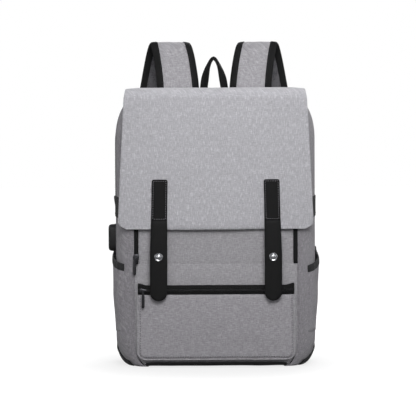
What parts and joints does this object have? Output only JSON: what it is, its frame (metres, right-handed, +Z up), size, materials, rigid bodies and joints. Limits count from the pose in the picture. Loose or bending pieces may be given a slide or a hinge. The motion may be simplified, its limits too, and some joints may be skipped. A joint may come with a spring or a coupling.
{
  "type": "flap-top laptop backpack",
  "caption": "Grey heather flap-top laptop backpack with black leather snap straps, zipped front pocket, side pockets, charging port and padded shoulder straps.",
  "frame": {"origin": "on the floor under the middle of the base", "axes": "+Z up, -Y towards the front of the bag, +Y towards the wearer, +X to the right seen from the front"},
  "size_m": [0.3125, 0.2145, 0.4878],
  "materials": {
    "grey_fabric": "heather grey woven polyester, matt",
    "black_fabric": "black coated woven fabric",
    "zip_tape": "black zip tape with nylon coil",
    "webbing": "black woven webbing and binding",
    "elastic": "black ribbed elastic",
    "leather": "black coated leather with fine grain and stitched edge",
    "air_mesh": "dark grey spacer mesh over foam",
    "lining": "dark plain lining",
    "chrome": "polished nickel",
    "gunmetal": "black plated zinc",
    "black_plastic": "moulded black plastic, fine texture"
  },
  "bodies": {
    "root": {"back_panel": "grey_fabric", "rear_gusset": "grey_fabric", "main_gusset": "grey_fabric", "front_gusset": "grey_fabric", "front_panel": "grey_fabric", "pocket_panel": "grey_fabric", "pocket_piping": "grey_fabric", "side_pocket_left": "grey_fabric", "side_pocket_right": "grey_fabric", "flap_root": "grey_fabric", "trolley_sleeve": "grey_fabric", "base_panel": "black_fabric", "zip_end_patch_left": "black_fabric", "zip_end_patch_right": "black_fabric", "anchor_patch_left": "black_fabric", "anchor_patch_right": "black_fabric", "main_zip_tape": "zip_tape", "front_zip_tape": "zip_tape", "pocket_zip_tape": "zip_tape", "strap_yoke": "webbing", "pocket_elastic_left": "elastic", "pocket_elastic_right": "elastic", "back_pad_left": "air_mesh", "back_pad_right": "air_mesh", "lumbar_pad_left": "air_mesh", "lumbar_pad_right": "air_mesh", "compartment_divider": "lining", "laptop_sleeve": "lining", "snap_stud_left": "chrome", "snap_stud_right": "chrome", "usb_socket": "chrome", "usb_housing": "black_plastic"},
    "main_slider_left": {"main_slider_left": "gunmetal"},
    "main_slider_right": {"main_slider_right": "gunmetal"},
    "front_slider": {"front_slider": "gunmetal"},
    "front_puller": {"front_puller": "gunmetal"},
    "pocket_slider": {"pocket_slider": "gunmetal"},
    "pocket_puller": {"pocket_puller": "gunmetal"},
    "flap_top": {"flap_top": "grey_fabric"},
    "flap_front": {"flap_front": "grey_fabric", "strap_tab_left": "leather", "strap_tab_right": "leather"},
    "strap_tail_left": {"strap_tail_left": "leather", "snap_cap_left": "chrome", "snap_socket_left": "chrome"},
    "strap_tail_right": {"strap_tail_right": "leather", "snap_cap_right": "chrome", "snap_socket_right": "chrome"},
    "handle": {"top_handle": "webbing"},
    "shoulder_left": {"shoulder_pad_left": "grey_fabric", "shoulder_binding_left": "webbing", "ladder_lock_left": "black_plastic", "webbing_left": "webbing"},
    "shoulder_right": {"shoulder_pad_right": "grey_fabric", "shoulder_binding_right": "webbing", "ladder_lock_right": "black_plastic", "webbing_right": "webbing"},
    "webbing_tail_left": {"webbing_tail_left": "webbing"},
    "webbing_tail_right": {"webbing_tail_right": "webbing"}
  },
  "joints": [
    {"name": "main_zip_left", "type": "slide", "parent": "root", "child": "main_slider_left", "axis": [-1, 0, 0], "range_m": [0, 0.1]},
    {"name": "main_zip_right", "type": "slide", "parent": "root", "child": "main_slider_right", "axis": [1, 0, 0], "range_m": [0, 0.1]},
    {"name": "front_zip", "type": "slide", "parent": "root", "child": "front_slider", "axis": [0, 0, 1], "range_m": [0, 0.155]},
    {"name": "front_puller_swing", "type": "hinge", "parent": "front_slider", "child": "front_puller", "pos_m": [-0.11875, -0.06645, 0.158], "axis": [-1, 0, 0], "range_deg": [0, 110]},
    {"name": "pocket_zip", "type": "slide", "parent": "root", "child": "pocket_slider", "axis": [1, 0, 0], "range_m": [0, 0.21]},
    {"name": "pocket_puller_swing", "type": "hinge", "parent": "pocket_slider", "child": "pocket_puller", "pos_m": [-0.1065, -0.07345, 0.11225], "axis": [-1, 0, 0], "range_deg": [0, 110]},
    {"name": "flap_lift", "type": "hinge", "parent": "root", "child": "flap_top", "pos_m": [0, 0.0502, 0.4085], "axis": [-1, 0, 0], "range_deg": [0, 80]},
    {"name": "flap_fold", "type": "hinge", "parent": "flap_top", "child": "flap_front", "pos_m": [0, -0.0442, 0.4085], "axis": [-1, 0, 0], "range_deg": [0, 100]},
    {"name": "strap_tail_swing_left", "type": "hinge", "parent": "flap_front", "child": "strap_tail_left", "pos_m": [-0.0835, -0.073, 0.2133], "axis": [-1, 0, 0], "range_deg": [0, 110]},
    {"name": "strap_tail_swing_right", "type": "hinge", "parent": "flap_front", "child": "strap_tail_right", "pos_m": [0.0835, -0.073, 0.2133], "axis": [-1, 0, 0], "range_deg": [0, 110]},
    {"name": "handle_flop", "type": "hinge", "parent": "root", "child": "handle", "pos_m": [0, 0.061, 0.3915], "axis": [-1, 0, 0], "range_deg": [0, 60]},
    {"name": "shoulder_swing_left", "type": "hinge", "parent": "root", "child": "shoulder_left", "pos_m": [-0.0553, 0.069, 0.4085], "axis": [0.2173, 0, 0.9761], "range_deg": [-18, 22]},
    {"name": "shoulder_swing_right", "type": "hinge", "parent": "root", "child": "shoulder_right", "pos_m": [0.0553, 0.069, 0.4085], "axis": [0.2173, 0, -0.9761], "range_deg": [-18, 22]},
    {"name": "webbing_tail_swing_left", "type": "hinge", "parent": "shoulder_left", "child": "webbing_tail_left", "pos_m": [-0.1165, 0.104, 0.1764], "axis": [1, 0, 0], "range_deg": [-8, 90]},
    {"name": "webbing_tail_swing_right", "type": "hinge", "parent": "shoulder_right", "child": "webbing_tail_right", "pos_m": [0.1165, 0.104, 0.1764], "axis": [1, 0, 0], "range_deg": [-8, 90]}
  ]
}
